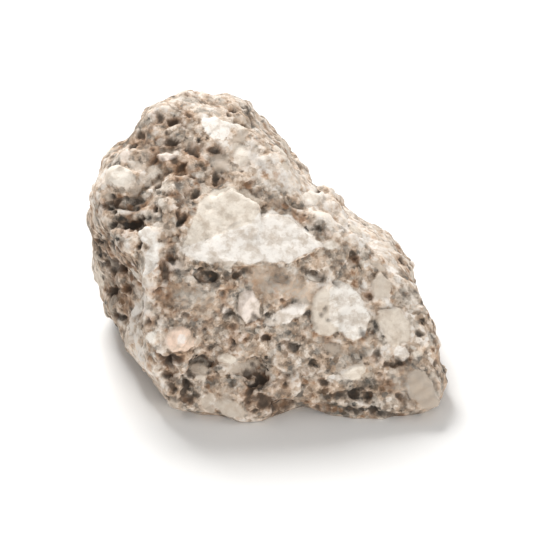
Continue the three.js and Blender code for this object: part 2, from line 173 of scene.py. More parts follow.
mesh = remeshedForm()
edges = edgesOf(mesh)
spots = spotsOf(mesh)
broad = unit(spread(normalsOf(mesh), edges, form["broad"]))
raised = smoothStep(spots[:, 2], form["flatBelow"], form["roughAbove"])  # 0 on the flat base
tree = BVHTree.FromPolygons([Vector(spot) for spot in spots], [face.vertices[:] for face in mesh.polygons])
finder = KDTree(len(spots))
for index, spot in enumerate(spots):
    finder.insert(spot, index)
finder.balance()
places = [Vector(spot) for spot in spots]  # as they are before the stone is dressed
print("form:", len(spots), "vertices,", len(mesh.polygons), "faces")


def meetFront(at):
    # The vertex nearest to where a line of sight first meets the stone.
    place, _, _, _ = tree.ray_cast(sightPoint(*at, sight["start"]), -sightNear)
    _, index, _ = finder.find(place)
    return index


def nearTo(place, normal, reach):
    # The vertices within reach of a place that face roughly the same way.
    found = np.array([index for _, index, _ in finder.find_range(place, reach)], dtype=np.int64)
    return found[broad[found] @ np.array(normal) > form["sameWay"]]


def noiseOver(size):
    return np.array([noise.noise(place / size) for place in places])


# Broken surface: chips in two sizes, and a rolling unevenness

chips = {
    "large": {"size": 2.6, "height": 0.26, "tilt": 0.15},
    "small": {"size": 1.1, "height": 0.12, "tilt": 0.14},
    "rolling": {"size": 1.6, "height": 0.14},
    "ledge": 0.16,  # width of the step between two chips, in chip sizes
    "onLedge": 0.3,  # share of the unevenness that the white ledge's facets keep
    "otherDice": Vector((31, 17, 5)),  # away from a chip's middle, where its lean is thrown
}
half = Vector((0.5, 0.5, 0.5))


def chipHeight(place, size, height, tilt):
    away, middles = noise.voronoi(place / size)
    step = min((away[1] - away[0]) / chips["ledge"], 1)
    heights = []
    for middle in middles[:2]:
        dice = noise.cell_vector(middle)
        lean = noise.cell_vector(middle + chips["otherDice"]) - half
        heights.append(height * (dice.x - 0.5) + tilt * (place - middle * size).dot(lean))
    return heights[0] * (0.5 + 0.5 * step) + heights[1] * (0.5 - 0.5 * step)


def brokenSurface():
    large = [chipHeight(place, **chips["large"]) for place in places]
    small = [chipHeight(place, **chips["small"]) for place in places]
    rolling = chips["rolling"]
    return np.array(large) + np.array(small) + rolling["height"] * noiseOver(rolling["size"])


# The big white crystal of the front is a ledge of two facets. Inside their outlines the form stays
# nearly as it is.
ledge = {
    "facets": [
        {"outline": [(-8.2, 17.5), (-6.3, 22.3), (-3.6, 23.7), (-0.6, 22.1), (-1, 19.4)], "tone": 0.53},
        {
            "outline": [
                (-8.3, 17.3),
                (-4.5, 19),
                (0.4, 21.3),
                (2.2, 20.7),
                (5.6, 17.6),
                (2.2, 16),
                (-6.6, 15.9),
            ],
            "tone": 0.72,
        },
    ],
    "reach": 5,  # mm along the line of sight from the ledge's middle
    "middle": (-1, 18.6),
    "ragged": 0.4,  # mm, how far the outline wanders
    "edge": 0.22,  # mm, how softly its colour ends
    "rim": (-0.3, 0.35),  # mm inside and outside it between which the roughness sets in
    "facing": 0.25,  # cosine to the sight line that ends a facet, and how fast, in mm
    "facingFall": 4,
}


def distanceOutside(points, outline):
    # How far each point lies outside a convex outline that runs clockwise. It is negative inside.
    farthest = np.full(len(points), -np.inf)
    for start, end in zip(outline, outline[1:] + outline[:1]):
        along = np.array(end) - np.array(start)
        outward = np.array((-along[1], along[0])) / np.hypot(*along)
        farthest = np.maximum(farthest, (points - np.array(start)) @ outward)
    return farthest


moved = spots - np.array(sight["foot"])
front = np.column_stack([moved[:, 0], moved @ np.array(sightUp)])  # across and up of each vertex
near = moved @ np.array(sightNear)
facing = broad @ np.array(sightNear)
inView = smoothStep(facing, *sight["turnedAway"])
strays = {"quick": 0.9, "slow": 2.2}  # mm, sizes of the noise that makes edges stray
wander = noiseOver(strays["quick"])
slowWander = noiseOver(strays["slow"])

ledgeNear = near[meetFront(ledge["middle"])]
facetDistances = []
for facet in ledge["facets"]:
    distance = distanceOutside(front, facet["outline"]) + ledge["ragged"] * wander
    distance = np.maximum(distance, np.abs(near - ledgeNear) - ledge["reach"])
    facetDistances.append(np.maximum(distance, ledge["facingFall"] * (ledge["facing"] - facing)))
ledgeDistance = np.minimum(*facetDistances)
offLedge = smoothStep(ledgeDistance, *ledge["rim"])
rough = chips["onLedge"] + (1 - chips["onLedge"]) * offLedge
spots += broad * (brokenSurface() * raised * rough)[:, None]
print("broken surface done")

# Areas of the front that are paler, darker, plainer or rustier; the dark ones are partly painted shade.
# Each runs from one place to another, and has a radius in mm and a strength.
areas = {
    "pale": [
        ((-6.4, 30.6), (-3.8, 29), 1.5, 0.8),
        ((-3.8, 29.4), (-2.2, 25.4), 1.4, 0.5),
        ((-11, 31), (-7.6, 32.4), 0.7, 0.6),
        ((-6.8, 32.6), (-1.6, 32), 0.7, 0.5),
        ((-1.2, 31.6), (4.2, 24.2), 1, 0.3),
        ((-0.5, 28.6), (1.6, 26.8), 1.4, 0.15),
        ((-1, 26), (4.2, 22.8), 1.6, 1),
        ((4.2, 22.8), (8.4, 19.6), 1.6, 0.9),
        ((8.4, 19.6), (13, 16), 1.5, 0.85),
        ((4.6, 13.4), (11.4, 12), 1.7, 0.8),
        ((12.4, 15.6), (11.6, 13.8), 0.9, 0.7),
        ((11.6, 16.6), (14.8, 11), 0.5, 0.7),
        ((13, 11.4), (12.4, 7.4), 1.8, 0.7),
        ((-12.9, 18.2), (-10.5, 19), 0.9, 1),
        ((-10.9, 18.8), (-11.3, 15.4), 0.9, 1),
        ((-11.3, 15.4), (-12, 13), 0.8, 1),
        ((-12, 13.4), (-12.8, 10.4), 1, 1),
        ((-13.6, 10), (-13, 7.6), 1, 1),
        ((-13, 7.6), (-10.6, 3.8), 1, 1),
        ((-15.9, 24.4), (-12.6, 24.8), 1.1, 0.9),
        ((-17.2, 22.4), (-16.7, 19.2), 0.6, 0.6),
        ((-17, 16), (-16.3, 12.6), 0.6, 1),
        ((-15.6, 16.3), (-14.4, 16.2), 0.35, 0.8),
        ((-11.8, 9), (-10.6, 8.4), 1, 0.7),
        ((-5.4, 2.2), (-1.8, 1.2), 1, 0.7),
        ((-4.4, 6.6), (-2.8, 6.6), 0.7, 0.4),
        ((7.4, 5.2), (10, 5.4), 1, 0.55),
    ],
    # Dark: partly darker rock, partly painted shade in the left recess and its creases, under the white
    # ledge, and in the grooves and notch at the foot.
    "dark": [
        ((-16, 21.6), (-12.4, 22), 0.8, 0.8),
        ((-15, 19.6), (-11.6, 20.2), 0.7, 0.8),
        ((-16.4, 18), (-14.2, 16.8), 1.1, 0.8),
        ((-15.4, 16.6), (-13.2, 15), 1.2, 0.9),
        ((-15.6, 13.6), (-13.6, 13), 1.2, 0.9),
        ((-15.8, 17.5), (-14.8, 10.8), 2.6, 0.75),
        ((-15.2, 11), (-14.2, 10.4), 1, 0.9),
        ((-11.6, 29.6), (-8.6, 29), 1.4, 0.35),
        ((-11, 27.4), (-6, 24.6), 2.6, 0.3),
        ((-10, 21.2), (-8, 20.4), 1.1, 0.4),
        ((-9.6, 15.4), (-2, 14.8), 0.8, 0.65),
        ((-9.8, 12.6), (-6, 12.4), 1.3, 0.35),
        ((-10.4, 6.2), (-6, 6.2), 1, 0.75),
        ((-9.8, 4.6), (-7.4, 3), 1.2, 0.75),
        ((-1.6, 5.6), (-1, 4.4), 1.1, 1),
        ((-1.4, 2.4), (1.6, 1.6), 1.4, 1),
        ((5.8, 2.9), (12, 3.8), 0.9, 0.8),
        ((6.4, 1.6), (13, 1.1), 0.8, 0.8),
        ((11.8, 6.1), (13.6, 6.3), 0.6, 0.7),
        ((3.4, 7.6), (6.6, 6.6), 1.2, 0.35),
        ((-1.3, 23), (3.8, 20.3), 0.5, 0.55),
        ((13, 17), (14.8, 14), 0.8, 0.8),
        ((14.8, 14), (16.4, 10), 0.7, 0.7),
        ((13.1, 13.5), (13.4, 12.9), 0.5, 0.8),
    ],
    "plain": [
        ((-0.4, 14.4), (3.4, 13.2), 1.5, 1),
        ((13.8, 4), (16.6, 2.2), 1.7, 0.9),
        ((-9, 13), (-5.4, 12), 1.1, 0.6),
        ((5.4, 8.4), (10, 7.4), 0.8, 0.4),
    ],
    "rust": [
        ((-10.6, 26.8), (-7.8, 24.8), 1.6, 0.8),
        ((-10.4, 13), (-9, 11.8), 0.9, 1),
        ((-1.2, 23), (3.9, 20), 0.5, 1),
        ((4.4, 10.6), (6.6, 8), 0.5, 0.9),
        ((-14.6, 16), (-13.4, 12), 1.1, 0.7),
        ((-8.4, 8.6), (-8.4, 8.5), 1.6, 0.6),
        ((-2, 3), (1.8, 1.6), 1.2, 0.6),
        ((9.6, 13), (10.2, 12.4), 0.7, 0.8),
        ((1, 4), (4, 2.6), 1.2, 0.4),
    ],
}
areaWander = 0.45  # mm, how far an area's edge strays
areaFade = 0.3  # of the noise, from where an area behind begins to where it is whole
# Out of the front's sight the same areas come by chance: how wide they are in mm, and where they begin
areasBehind = {
    "pale": {"size": 4.4, "from": 0.16, "shift": 0},
    "dark": {"size": 4, "from": 0.14, "shift": 40},
    "plain": {"size": 5, "from": 0.3, "shift": 80},
    "rust": {"size": 3.2, "from": 0.18, "shift": 120},
}


def areaShare(kind):
    share = np.zeros(len(spots))
    for start, end, radius, strength in areas[kind]:
        start, end = np.array(start), np.array(end)
        along = np.clip((front - start) @ (end - start) / ((end - start) @ (end - start)), 0, 1)
        away = np.linalg.norm(front - start - along[:, None] * (end - start), axis=1)
        away = np.maximum(away + areaWander * (wander + slowWander), 0)
        share = np.maximum(share, strength * np.exp(-((away / radius) ** 2)) * inView)
    behind = areasBehind[kind]
    shift = Vector((behind["shift"], 0, 0))
    cloud = np.array([noise.noise((place + shift) / behind["size"]) for place in places])
    return np.maximum(share, smoothStep(cloud, behind["from"], behind["from"] + areaFade) * (1 - inView))


shares = {kind: areaShare(kind) for kind in areas}
print("areas done")

# Crystals: blocky pale feldspar with flat, slightly leaning tops, whose edges melt into the paste

level = 0.05  # sine of a slope that counts as level
crystals = {
    "count": 620,
    "radius": (0.26, 1.15),  # mm
    "largeRare": 3.2,  # higher makes the large ones rarer
    "proud": (-0.04, 0.13),  # mm, how far the middle of its top stands out
    "lean": 0.18,  # slope of its top
    "crowding": 0.95,  # share of two radii that two crystals keep apart
    "sides": (4, 5, 5, 6),
    "namedSides": (7, 8, 9),  # of the front's own ones
    "edge": 0.13,  # mm, width of the step at a crystal's edge
    "soft": (0.12, 0.4),  # mm, how softly the colour ends
    "namedSoft": (0.12, 0.34),
    "strength": (0.25, 0.85),  # how strongly the strewn ones stand out in colour
    "paleRare": 1.7,  # higher makes the whiter ones rarer
    "breaksFrom": 1.6,  # mm, crystals wider than this have breaks across them
    "breakWidth": (0.45, 0.9),  # mm
    "breakHeight": 0.06,  # mm
    "around": (0.75, 0.5),  # reach of a cut: share of the size, and mm more
    "cut": (0.82, 1.1),  # how far out its sides lie, in half sizes
    "jumble": 0.25,  # of the angle between two sides
    "ragged": 0.3,  # mm, how far its outline strays
    "namedRagged": 0.22,
    "most": 0.5,  # mm that the surface is raised or lowered to a crystal's top
    "longer": (1, 1.9),  # times as long as it is wide
    "palest": 0.9,  # tone of the palest strewn one
    "chance": {"plainRock": 0.62, "pale": 0.5, "dark": -0.6, "plain": -0.8},
    "tries": 9000,
    "seed": 11,
}

# The front's own crystals: place, width, length, turn in degrees, how far it stands out, and tone
# (0 grey, 0.5 cream, 0.7 white, 0.84 pinkish, 1 peach)
namedCrystals = [
    ((-8.3, 8.7), 1.4, 1.4, 60, 0.34, 0.8),
    ((-8.4, 8.6), 2.8, 2.8, 20, 0.34, 0.95),
    ((-1.6, 11.6), 2.5, 3.3, 5, 0.3, 0.84),
    ((2.1, 10.9), 1.5, 4.4, -65, 0.24, 0.74),
    ((7.8, 11.2), 4, 5.7, 18, 0.2, 0.68),
    ((5.7, 10.9), 2.8, 4.6, 18, 0.16, 0.4),
    ((11.2, 13.6), 2, 2.6, -20, 0.2, 0.3),
    ((12.6, 9.8), 3.2, 4.3, 20, 0.16, 0.4),
    ((-4.8, 29.2), 2.2, 3.2, 40, 0.25, 0.72),
    ((-9.8, 26.4), 0.9, 1.7, -75, 0.15, 0.86),
    ((-14.2, 24.4), 2.4, 3.2, 70, 0.25, 0.55),
    ((-11.6, 18.6), 1.6, 2.8, 70, 0.22, 0.7),
    ((-11.1, 16.2), 1.2, 3.4, -5, 0.2, 0.7),
    ((-12.5, 11.4), 1.3, 3, -22, 0.15, 0.72),
    ((-11.2, 8.8), 1.3, 1.7, -8, 0.15, 0.66),
    ((-3.6, 1.8), 1.6, 3.4, 80, 0.2, 0.28),
    ((15.2, 3.6), 2.6, 3.8, 35, 0.16, 0.06),
    ((1.4, 26.8), 1.6, 2.5, 42, 0.1, 0.45),
    ((-2.6, 26.6), 1.4, 2.4, 20, 0.18, 0.55),
    ((8.6, 19.2), 1.6, 2.6, 55, 0.1, 0.45),
    ((4.6, 22.4), 1.6, 2.4, 52, 0.1, 0.6),
    ((12.3, 15.4), 1.1, 2, 40, 0.15, 0.74),
    ((8.6, 5.3), 1.6, 2.4, -70, 0.18, 0.5),
    ((-3.6, 6.6), 0.9, 1.8, 80, 0.1, 0.5),
    ((4.4, 14.4), 0.8, 1.6, 60, 0.1, 0.6),
    ((13.2, 7.2), 1.3, 1.8, 30, 0.14, 0.74),
    ((6.4, 17.6), 0.9, 1.6, 60, 0.1, 0.6),
]


def tangents(normal, turn):
    # Two directions in the surface: sideways and upward, turned together.
    side = Vector((0, 0, 1)).cross(normal)
    side = side.normalized() if side.length > level else Vector((1, 0, 0))
    upward = normal.cross(side).normalized()
    return (
        side * math.cos(turn) + upward * math.sin(turn),
        upward * math.cos(turn) - side * math.sin(turn),
    )


crystalDistance = ledgeDistance.copy()
crystalShare = smoothStep(-ledgeDistance, -ledge["edge"], ledge["edge"])
crystalTone = np.where(facetDistances[0] < facetDistances[1], *[facet["tone"] for facet in ledge["facets"]])


def cutCrystal(index, width, length, turn, proud, tone, strength, dice):
    middle = Vector(spots[index])
    normal = Vector(broad[index])
    sideways, upward = tangents(normal, turn)
    share, more = crystals["around"]
    found = nearTo(middle, normal, share * max(width, length) + more)
    offset = spots[found] - np.array(middle)
    x = offset @ np.array(sideways)
    y = offset @ np.array(upward)
    height = offset @ np.array(normal)
    named = strength == 1
    sides = dice.choice(crystals["namedSides" if named else "sides"])
    first = dice.uniform(0, math.tau)
    distance = np.full(len(found), -np.inf)
    for side in range(sides):
        angle = first + (side + dice.uniform(-crystals["jumble"], crystals["jumble"])) * math.tau / sides
        cut = dice.uniform(*crystals["cut"])
        slope = x * math.cos(angle) / (width / 2) + y * math.sin(angle) / (length / 2) - cut
        distance = np.maximum(distance, slope)
    ragged = crystals["namedRagged" if named else "ragged"]
    distance = distance * min(width, length) / 2 + ragged * wander[found]
    lean = (dice.uniform(-1, 1) * crystals["lean"], dice.uniform(-1, 1) * crystals["lean"])
    top = proud + lean[0] * x + lean[1] * y
    if min(width, length) > crystals["breaksFrom"]:
        breaks = dice.uniform(*crystals["breakWidth"])
        way = dice.uniform(0, math.pi)
        stripe = np.floor((x * math.cos(way) + y * math.sin(way)) / breaks) % 2
        top = top + crystals["breakHeight"] * (stripe - 0.5)
    inside = smoothStep(-distance, -crystals["edge"], crystals["edge"]) * raised[found] * offLedge[found]
    change = np.clip(top - height, -crystals["most"], crystals["most"])
    spots[found] += np.array(normal) * (change * inside)[:, None]
    soft = dice.uniform(*crystals["namedSoft" if named else "soft"])
    share = strength * smoothStep(-distance, -soft, soft)
    stronger = share > crystalShare[found]
    crystalShare[found[stronger]] = share[stronger]
    crystalTone[found[stronger]] = tone
    crystalDistance[found] = np.minimum(crystalDistance[found], distance)


def chanceAt(index, plainRock, **byArea):
    # The chance that a crystal or pit is set here: that of plain rock, and more or less in each area.
    return plainRock + sum(change * shares[kind][index] for kind, change in byArea.items())


def cutCrystals():
    dice = random.Random(crystals["seed"])
    middles = []
    radii = []
    for at, width, length, turn, proud, tone in namedCrystals:
        index = meetFront(at)
        cutCrystal(index, width, length, math.radians(turn), proud, tone, 1, dice)
        middles.append(spots[index].copy())
        radii.append((width + length) / 4)
    low, high = crystals["radius"]
    for _ in range(crystals["tries"]):
        index = dice.randrange(len(spots))
        radius = low + (high - low) * dice.random() ** crystals["largeRare"]
        if dice.random() > chanceAt(index, **crystals["chance"]):
            continue
        if ledgeDistance[index] < radius or raised[index] < form["raised"]:
            continue
        away = np.linalg.norm(np.array(middles) - spots[index], axis=1)
        if np.any(away < crystals["crowding"] * (np.array(radii) + radius)):
            continue
        longer = dice.uniform(*crystals["longer"]) ** 0.5
        proud = dice.uniform(*crystals["proud"])
        tone = crystals["palest"] * dice.random() ** crystals["paleRare"]
        strength = dice.uniform(*crystals["strength"])
        turn = dice.uniform(0, math.pi)
        cutCrystal(index, 2 * radius / longer, 2 * radius * longer, turn, proud, tone, strength, dice)
        middles.append(spots[index].copy())
        radii.append(radius)
        if len(middles) == len(namedCrystals) + crystals["count"]:
            break
    print("crystals:", len(middles))


cutCrystals()

# Crevices: narrow cracks and undercut lines. Each runs through places on the front, and has a width
# and a depth in mm.
namedCrevices = [
    ([(-16.4, 21.3), (-14.7, 21.6), (-13.6, 22), (-12.2, 22.1)], 0.55, 0.6),
    ([(-15.2, 19.5), (-13.6, 19.5), (-11.4, 20.3)], 0.55, 0.6),
    ([(-16.8, 18), (-15.6, 17.8), (-14.4, 17.4)], 0.5, 0.5),
    ([(-16.4, 15.8), (-15, 15.3), (-13.5, 15.5)], 0.55, 0.55),
    ([(-15.8, 13.4), (-14.4, 13.2), (-13.2, 13.6)], 0.5, 0.5),
    ([(-15.2, 10.9), (-14, 10.5)], 0.45, 0.45),
    ([(-10, 15.6), (-8.8, 15.1), (-7.8, 15)], 0.45, 0.45),
    ([(-4.2, 14.6), (-2.4, 14.9), (-1.6, 15)], 0.45, 0.45),
    ([(-2, 14.8), (-0.4, 13.8), (0.6, 12.9)], 0.25, 0.2),
    ([(-0.9, 21.2), (-2.3, 20.1), (-4.1, 19.1), (-6.4, 18.2)], 0.26, 0.2),
    ([(-1.4, 23.2), (0.6, 22.3), (2.4, 21.2), (3.8, 20.2), (5.2, 19.2)], 0.28, 0.16),
    ([(4.2, 11), (4.8, 9.6), (5.6, 8.5), (7.2, 7.9)], 0.28, 0.22),
    ([(-10.8, 6.8), (-9, 6.4), (-7.4, 6.4), (-5.8, 6.2)], 0.45, 0.45),
    ([(-10, 5), (-8.8, 4.5), (-7.4, 4.1)], 0.4, 0.4),
    ([(-9.6, 2.7), (-8, 2.6), (-6.8, 2.9)], 0.4, 0.4),
    ([(5.8, 2.9), (8, 3.2), (10, 3.2), (12, 3.9)], 0.5, 0.45),
    ([(6.6, 1.6), (9, 1.5), (11.2, 1.2), (13, 1)], 0.45, 0.4),
    ([(11.6, 6), (12.8, 6.1), (13.8, 6.4)], 0.4, 0.4),
    ([(12.8, 13.6), (14, 12.2), (15, 10.8), (15.8, 9.6)], 0.3, 0.18),
    ([(13.2, 5), (13.6, 3.4), (14.2, 2)], 0.26, 0.2),
    ([(9.1, 14), (9.5, 13.2), (10.2, 12.5)], 0.35, 0.3),
    ([(-1.8, 2.6), (-0.4, 2.7), (1, 2.2), (1.8, 1.8)], 0.5, 0.5),
    ([(7.7, 17.8), (8.4, 16.8), (9, 15.8)], 0.35, 0.28),
    ([(3.6, 15.3), (4.6, 14.9), (5.4, 14.4)], 0.4, 0.4),
    ([(-8.8, 24.4), (-8.3, 23), (-8.6, 22)], 0.35, 0.3),
    ([(-6.8, 26.2), (-6.2, 25.2), (-6.4, 24)], 0.35, 0.3),
]
crevices = {
    "step": 0.25,  # mm between the points of a path
    "count": 46,  # on the sides and back
    "outOfView": 0.3,  # where those start: the share in the front's view is less than this
    "length": (8, 22),  # steps
    "width": (0.3, 0.5),
    "stray": 0.5,  # radians that a path may turn at each step
    "depth": 0.75,  # share of the depth given
    "around": 1.6,  # widths, how far out a crevice is looked for
    "ragged": 0.8,  # share of its width that its edge strays
    "fullShadeDepth": 0.4,  # mm, the depth from which its painted shade is darkest
    "openSize": 1.2,  # mm, size of the noise that closes it here and there
    "open": (-0.5, 0.15),
    "stride": 1.4,  # steps between two places of a strewn one's path
    "strewnDepth": 0.8,  # widths
    "seed": 5,
}
creviceDepth = np.zeros(len(spots))
creviceShadeMask = np.zeros(len(spots))
openness = smoothStep(noiseOver(crevices["openSize"]), *crevices["open"])


def cutCrevice(path, width, depth):
    # A crevice's colour gets painted shade, the darker the deeper it is.
    shadeStrength = min(1, depth / crevices["fullShadeDepth"])
    for place in path:
        for _, index, away in finder.find_range(place, crevices["around"] * width):
            here = width * (1 + crevices["ragged"] * wander[index])
            share = max(0, 1 - (away / here) ** 2) * openness[index]
            creviceShadeMask[index] = max(creviceShadeMask[index], shadeStrength * share)
            creviceDepth[index] = max(creviceDepth[index], crevices["depth"] * depth * share)


def cutCrevices():
    for points, width, depth in namedCrevices:
        path = []
        for start, end in zip(points, points[1:]):
            steps = max(1, round(math.dist(start, end) / crevices["step"]))
            for step in range(steps + 1):
                share = step / steps
                at = [first + share * (last - first) for first, last in zip(start, end)]
                path.append(places[meetFront(at)])
        cutCrevice(path, width, depth)
    dice = random.Random(crevices["seed"])
    kept = 0
    while kept < crevices["count"]:
        index = dice.randrange(len(spots))
        if inView[index] > crevices["outOfView"] or raised[index] < 1:
            continue
        turn = dice.uniform(0, math.tau)
        path = []
        for _ in range(dice.randint(*crevices["length"])):
            path.append(places[index])
            along, _ = tangents(Vector(broad[index]), turn)
            _, index, _ = finder.find(places[index] + along * crevices["step"] * crevices["stride"])
            turn += dice.uniform(-crevices["stray"], crevices["stray"])
        width = dice.uniform(*crevices["width"])
        cutCrevice(path, width, crevices["strewnDepth"] * width)
        kept += 1


cutCrevices()
spots -= broad * (creviceDepth * raised * offLedge)[:, None]
print("crevices done")

# Pits: small burst bubbles and places that grains fell out of

pits = {
    "count": 430,
    "radius": (0.13, 0.46),  # mm
    "largeRare": 2.2,
    "depth": (0.6, 1.1),  # of the radius
    "namedShare": 0.8,  # of the radius that a named pit is given
    "rim": 0.22,  # mm, how far a strewn pit may reach into a crystal
    "around": (1.6, 0.6),  # reach of a pit: share of the radius, and mm more
    "stray": 0.8,  # share of the radius that its outline strays
    "longer": (1, 1.6),
    "namedDepth": 0.9,  # of the radius
    "chance": {"plainRock": 0.42, "pale": -0.6, "dark": 0.7, "plain": -0.6},
    "largerInDark": 0.3,
    "tries": 9000,
    "ragged": ((2, 0.16), (3, 0.1), (5, 0.08)),  # waves round the rim, and their heights
    "farthest": 1.0,  # mm, the greatest distance to a pit that is told apart
    "seed": 23,
}
namedPits = [
    ((-10.5, 30.3), 0.6),
    ((-9.1, 29.9), 0.55),
    ((-7.6, 30.4), 0.5),
    ((-12.4, 28.5), 0.6),
    ((-13.2, 27.4), 0.55),
    ((-9.4, 27.8), 0.55),
    ((-6.6, 27.8), 0.4),
    ((-5, 27), 0.55),
    ((-11, 25.9), 0.45),
    ((-8.9, 25.8), 0.55),
    ((-8.3, 25.3), 0.5),
    ((-4.9, 24.3), 0.6),
    ((-7.2, 24.2), 0.4),
    ((-10.4, 23.3), 0.55),
    ((-6.8, 22.6), 0.5),
    ((-8.6, 20.8), 0.5),
    ((-8.1, 20.3), 0.45),
    ((-10.8, 21.3), 0.45),
    ((-15.6, 21.3), 0.5),
    ((-16.4, 18), 0.55),
    ((-14.6, 17.4), 0.6),
    ((-15, 15.4), 0.7),
    ((-13.8, 15.4), 0.5),
    ((-15.2, 13.3), 0.65),
    ((-13.8, 13.2), 0.5),
    ((-14.6, 10.7), 0.6),
    ((-9.2, 16.4), 0.6),
    ((-2.9, 14.7), 0.5),
    ((-10.4, 13.3), 0.5),
    ((-4, 10.6), 0.5),
    ((-3.4, 9.7), 0.35),
    ((-0.2, 8.7), 0.55),
    ((-3.4, 8.4), 0.4),
    ((-10.2, 6.5), 0.55),
    ((-7.6, 6.5), 0.3),
    ((-9.4, 5), 0.45),
    ((-7.6, 4), 0.65),
    ((-9.2, 3.4), 0.4),
    ((-7.6, 2.4), 0.5),
    ((-5.8, 5.2), 0.4),
    ((-1.7, 5), 0.7),
    ((-0.9, 4.6), 0.75),
    ((-1.2, 4.1), 0.55),
    ((-1.5, 6), 0.45),
    ((5.6, 11.6), 0.3),
    ((5.2, 10.9), 0.28),
    ((6, 10.4), 0.28),
    ((-0.2, 2.2), 0.8),
    ((0.9, 1.7), 0.6),
    ((-1.2, 1.5), 0.4),
    ((4.4, 6.4), 0.45),
    ((5.6, 4.3), 0.55),
    ((3, 7.8), 0.35),
    ((8.6, 16.4), 0.35),
    ((4.9, 19.4), 0.45),
    ((4.6, 15), 0.35),
    ((10, 12.8), 0.3),
    ((12.9, 6.2), 0.5),
    ((10.8, 5.2), 0.4),
    ((10.2, 1.5), 0.55),
    ((8.6, 3), 0.5),
    ((12.9, 3), 0.45),
]
pitDistance = np.full(len(spots), pits["farthest"])


def sinkPit(index, radius, depth, dice):
    middle = Vector(spots[index])
    normal = Vector(broad[index])
    sideways, upward = tangents(normal, dice.uniform(0, math.pi))
    share, more = pits["around"]
    found = nearTo(middle, normal, share * radius + more)
    offset = spots[found] - np.array(middle)
    longer = dice.uniform(*pits["longer"])
    x = offset @ np.array(sideways) * longer**0.5
    y = offset @ np.array(upward) / longer**0.5
    angle = np.arctan2(y, x)
    away = np.hypot(x, y)
    for waves, height in pits["ragged"]:
        away = away * (1 + height * np.sin(waves * angle + dice.uniform(0, math.tau)))
    away = away * (1 + pits["stray"] * wander[found])
    bowl = np.sqrt(np.clip(1 - (away / radius) ** 2, 0, 1))
    spots[found] -= np.array(normal) * (depth * bowl * raised[found])[:, None]
    pitDistance[found] = np.minimum(pitDistance[found], away - radius)


def sinkPits():
    dice = random.Random(pits["seed"])
    for at, radius in namedPits:
        radius *= pits["namedShare"]
        sinkPit(meetFront(at), radius, pits["namedDepth"] * radius, dice)
    low, high = pits["radius"]
    kept = 0
    for _ in range(pits["tries"]):
        index = dice.randrange(len(spots))
        radius = low + (high - low) * dice.random() ** pits["largeRare"]
        inCrystal = crystalDistance[index] < -pits["rim"] or ledgeDistance[index] < radius + pits["rim"]
        onBase = raised[index] < form["raised"]
        if dice.random() > chanceAt(index, **pits["chance"]) or inCrystal or onBase:
            continue
        radius *= 1 + pits["largerInDark"] * shares["dark"][index]
        sinkPit(index, radius, radius * dice.uniform(*pits["depth"]), dice)
        kept += 1
        if kept == pits["count"]:
            break
    print("pits:", kept)


sinkPits()

# Grit: the groundmass is grainy and the crystals nearly smooth

grit = {
    "size": 0.46,  # mm
    "height": 0.075,
    "octaves": 2,
    "onCrystal": 0.3,  # shares of it that crystals and plain areas keep
    "onPlain": 0.4,
}


def addGrit():
    amount = 1 - (1 - grit["onCrystal"]) * crystalShare
    amount *= 1 - (1 - grit["onPlain"]) * shares["plain"]
    rough = np.array([noise.fractal(place / grit["size"], 1, 2, grit["octaves"]) for place in places])
    return broad * (grit["height"] * rough * amount * raised)[:, None]


spots += addGrit()
spots[:, 2] = np.maximum(spots[:, 2] - spots[:, 2].min(), 0)
print("grit done")

# How deep each vertex lies under the surface about it: hollows get painted shade and worn rises are pale.
hollows = {"broad": 16, "fine": 3}  # rounds of spreading that make the surface about a vertex
hollow = ((spread(spots, edges, hollows["broad"]) - spots) * broad).sum(axis=1)
fineHollow = ((spread(spots, edges, hollows["fine"]) - spots) * broad).sum(axis=1)

mesh.vertices.foreach_set("co", (spots * mm).ravel())
mesh.update()
numbers = {
    "crystalShare": crystalShare,
    "crystalTone": crystalTone,
    "pitDistance": np.maximum(pitDistance, -pits["farthest"]),
    "crevice": creviceShadeMask,
    "hollow": hollow,
    "fineHollow": fineHollow,
    **shares,
}
for name, values in numbers.items():
    mesh.attributes.new(name, "FLOAT", "POINT").data.foreach_set("value", values.astype(np.float32))

stone = bpy.data.objects.new("volcanicStone", mesh)
bpy.context.scene.collection.objects.link(stone)
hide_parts(form["node"])
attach(stone, "root")
print("stone done")

# Materials


def hexColour(code):
    # sRGB hex to the linear colour that a socket takes.
    parts = [int(code[start : start + 2], 16) / 255 for start in (0, 2, 4)]
    linear = [part / 12.92 if part <= 0.04045 else ((part + 0.055) / 1.055) ** 2.4 for part in parts]
    return (*linear, 1)


def addNode(tree, kind, settings=None, links=None):
    # Adds a node. Settings are its properties, its sockets by name or number, and a ramp's stops; links
    # say which node or output feeds which socket.
    node = tree.nodes.new("ShaderNode" + kind)
    for name, value in (settings or {}).items():
        if name == "stops":
            for at, colour in value:
                node.color_ramp.elements.new(at).color = hexColour(colour)
            node.color_ramp.elements.remove(node.color_ramp.elements[0])
            node.color_ramp.elements.remove(node.color_ramp.elements[-1])
        elif isinstance(name, str) and hasattr(node, name):
            setattr(node, name, value)
        else:
            node.inputs[name].default_value = value
    for name, source in (links or {}).items():
        output = source.outputs[0] if isinstance(source, bpy.types.Node) else source
        tree.links.new(output, node.inputs[name])
    return node
